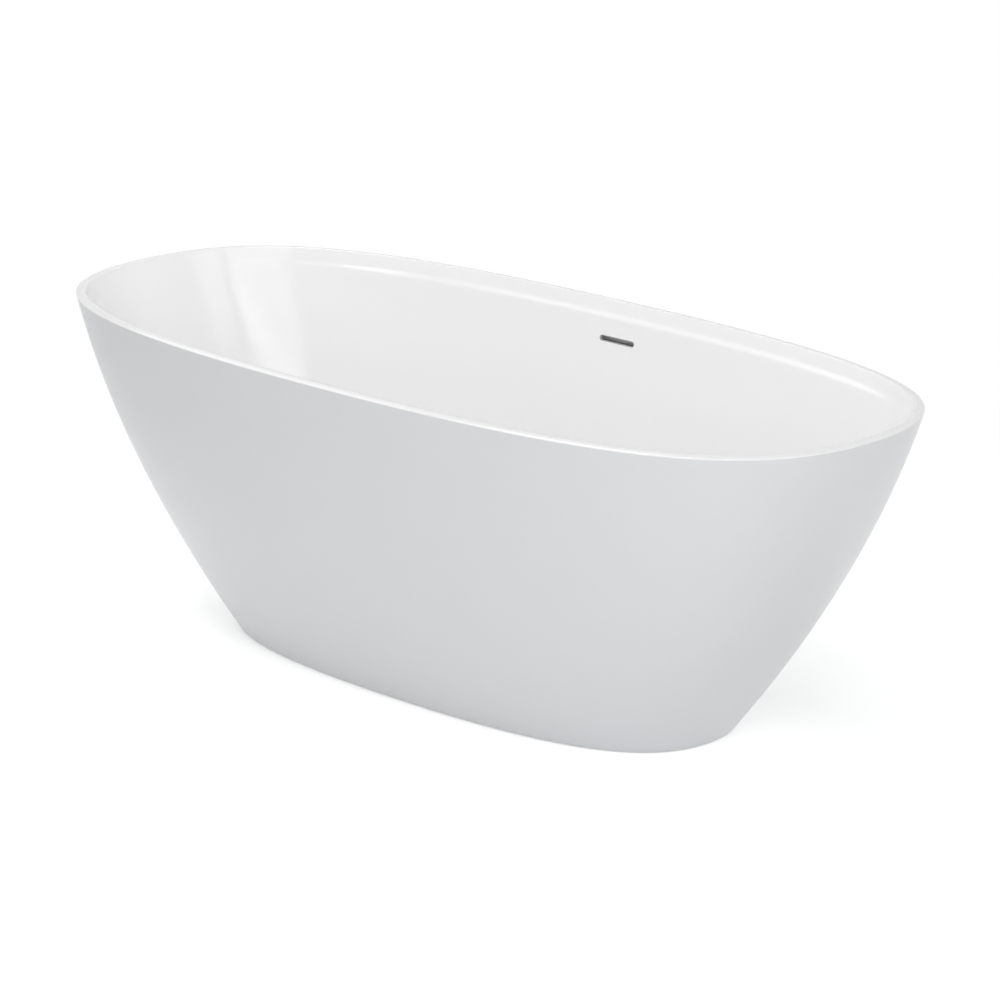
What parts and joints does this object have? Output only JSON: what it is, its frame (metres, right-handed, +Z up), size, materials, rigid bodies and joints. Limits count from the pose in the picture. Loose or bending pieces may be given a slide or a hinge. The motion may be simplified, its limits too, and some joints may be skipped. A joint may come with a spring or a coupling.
{
  "type": "freestanding bathtub",
  "caption": "Freestanding oval bath with a tapered double shell, flat rim, slot overflow, pop-up waste, swivel trap and levelling feet.",
  "frame": {"origin": "on the floor under the middle of the bath", "axes": "+X along the length, +Y towards the side with the overflow, +Z up"},
  "size_m": [1.6977, 0.7594, 0.58],
  "materials": {
    "skirt_acrylic": "satin",
    "basin_acrylic": "gloss",
    "adhesive": "matte",
    "board": "raw",
    "rail_steel": "powder coated",
    "zinc_steel": "zinc plated",
    "spring_steel": "bright",
    "black_plastic": "matte",
    "white_plastic": "satin",
    "grey_plastic": "matte",
    "trim_plastic": "gloss",
    "chrome": "polished",
    "brass": "turned",
    "rubber": "matte"
  },
  "bodies": {
    "bath": {"base_board": "board", "basin": "basin_acrylic", "cross_rail_left": "rail_steel", "cross_rail_right": "rail_steel", "foot_lock_nuts": "zinc_steel", "hose_collar_bottom": "spring_steel", "hose_collar_top": "spring_steel", "overflow_gasket": "rubber", "overflow_hose": "grey_plastic", "overflow_manifold": "grey_plastic", "overflow_trim": "trim_plastic", "popup_cartridge": "brass", "popup_spring": "spring_steel", "rail_end_buffers": "black_plastic", "rail_screws": "zinc_steel", "rail_weld_nuts": "zinc_steel", "rim_bond": "adhesive", "skirt": "skirt_acrylic", "waste_body": "white_plastic", "waste_flange": "chrome", "waste_flange_gasket": "rubber", "waste_lower_gasket": "rubber"},
    "plug": {"plug_cap": "chrome", "plug_seal": "rubber", "plug_stem": "brass"},
    "trap": {"trap_cup": "white_plastic", "trap_washer": "rubber", "trap_union_nut": "white_plastic", "outlet_seal": "rubber", "outlet_nut": "white_plastic"},
    "pad_front_left": {"foot_pad_front_left": "black_plastic", "foot_sole_front_left": "rubber"},
    "stud_front_left": {"foot_stud_front_left": "zinc_steel"},
    "pad_front_right": {"foot_pad_front_right": "black_plastic", "foot_sole_front_right": "rubber"},
    "stud_front_right": {"foot_stud_front_right": "zinc_steel"},
    "pad_back_left": {"foot_pad_back_left": "black_plastic", "foot_sole_back_left": "rubber"},
    "stud_back_left": {"foot_stud_back_left": "zinc_steel"},
    "pad_back_right": {"foot_pad_back_right": "black_plastic", "foot_sole_back_right": "rubber"},
    "stud_back_right": {"foot_stud_back_right": "zinc_steel"}
  },
  "joints": [
    {"name": "plug_lift", "type": "slide", "parent": "bath", "child": "plug", "axis": [0, 0, 1], "range_m": [0, 0.01], "deforming": ["popup_spring"]},
    {"name": "trap_swivel", "type": "hinge", "parent": "bath", "child": "trap", "pos_m": [0, 0, 0.0637], "axis": [0, 0, 1], "range_deg": [-90, 90]},
    {"name": "foot_front_left_height", "type": "slide", "parent": "bath", "child": "pad_front_left", "axis": [0, 0, 1], "range_m": [-0.02, 0]},
    {"name": "foot_front_left_screw", "type": "hinge", "parent": "pad_front_left", "child": "stud_front_left", "pos_m": [-0.33, -0.14, 0.016], "axis": [0, 0, 1], "range_deg": [-4120, 0]},
    {"name": "foot_front_right_height", "type": "slide", "parent": "bath", "child": "pad_front_right", "axis": [0, 0, 1], "range_m": [-0.02, 0]},
    {"name": "foot_front_right_screw", "type": "hinge", "parent": "pad_front_right", "child": "stud_front_right", "pos_m": [0.33, -0.14, 0.016], "axis": [0, 0, 1], "range_deg": [-4120, 0]},
    {"name": "foot_back_left_height", "type": "slide", "parent": "bath", "child": "pad_back_left", "axis": [0, 0, 1], "range_m": [-0.02, 0]},
    {"name": "foot_back_left_screw", "type": "hinge", "parent": "pad_back_left", "child": "stud_back_left", "pos_m": [-0.33, 0.14, 0.016], "axis": [0, 0, 1], "range_deg": [-4120, 0]},
    {"name": "foot_back_right_height", "type": "slide", "parent": "bath", "child": "pad_back_right", "axis": [0, 0, 1], "range_m": [-0.02, 0]},
    {"name": "foot_back_right_screw", "type": "hinge", "parent": "pad_back_right", "child": "stud_back_right", "pos_m": [0.33, 0.14, 0.016], "axis": [0, 0, 1], "range_deg": [-4120, 0]}
  ],
  "couplings": [
    {"joint": "foot_front_left_screw", "follows": "foot_front_left_height", "rad_per_m": 3590.4},
    {"joint": "foot_front_right_screw", "follows": "foot_front_right_height", "rad_per_m": 3590.4},
    {"joint": "foot_back_left_screw", "follows": "foot_back_left_height", "rad_per_m": 3590.4},
    {"joint": "foot_back_right_screw", "follows": "foot_back_right_height", "rad_per_m": 3590.4}
  ]
}
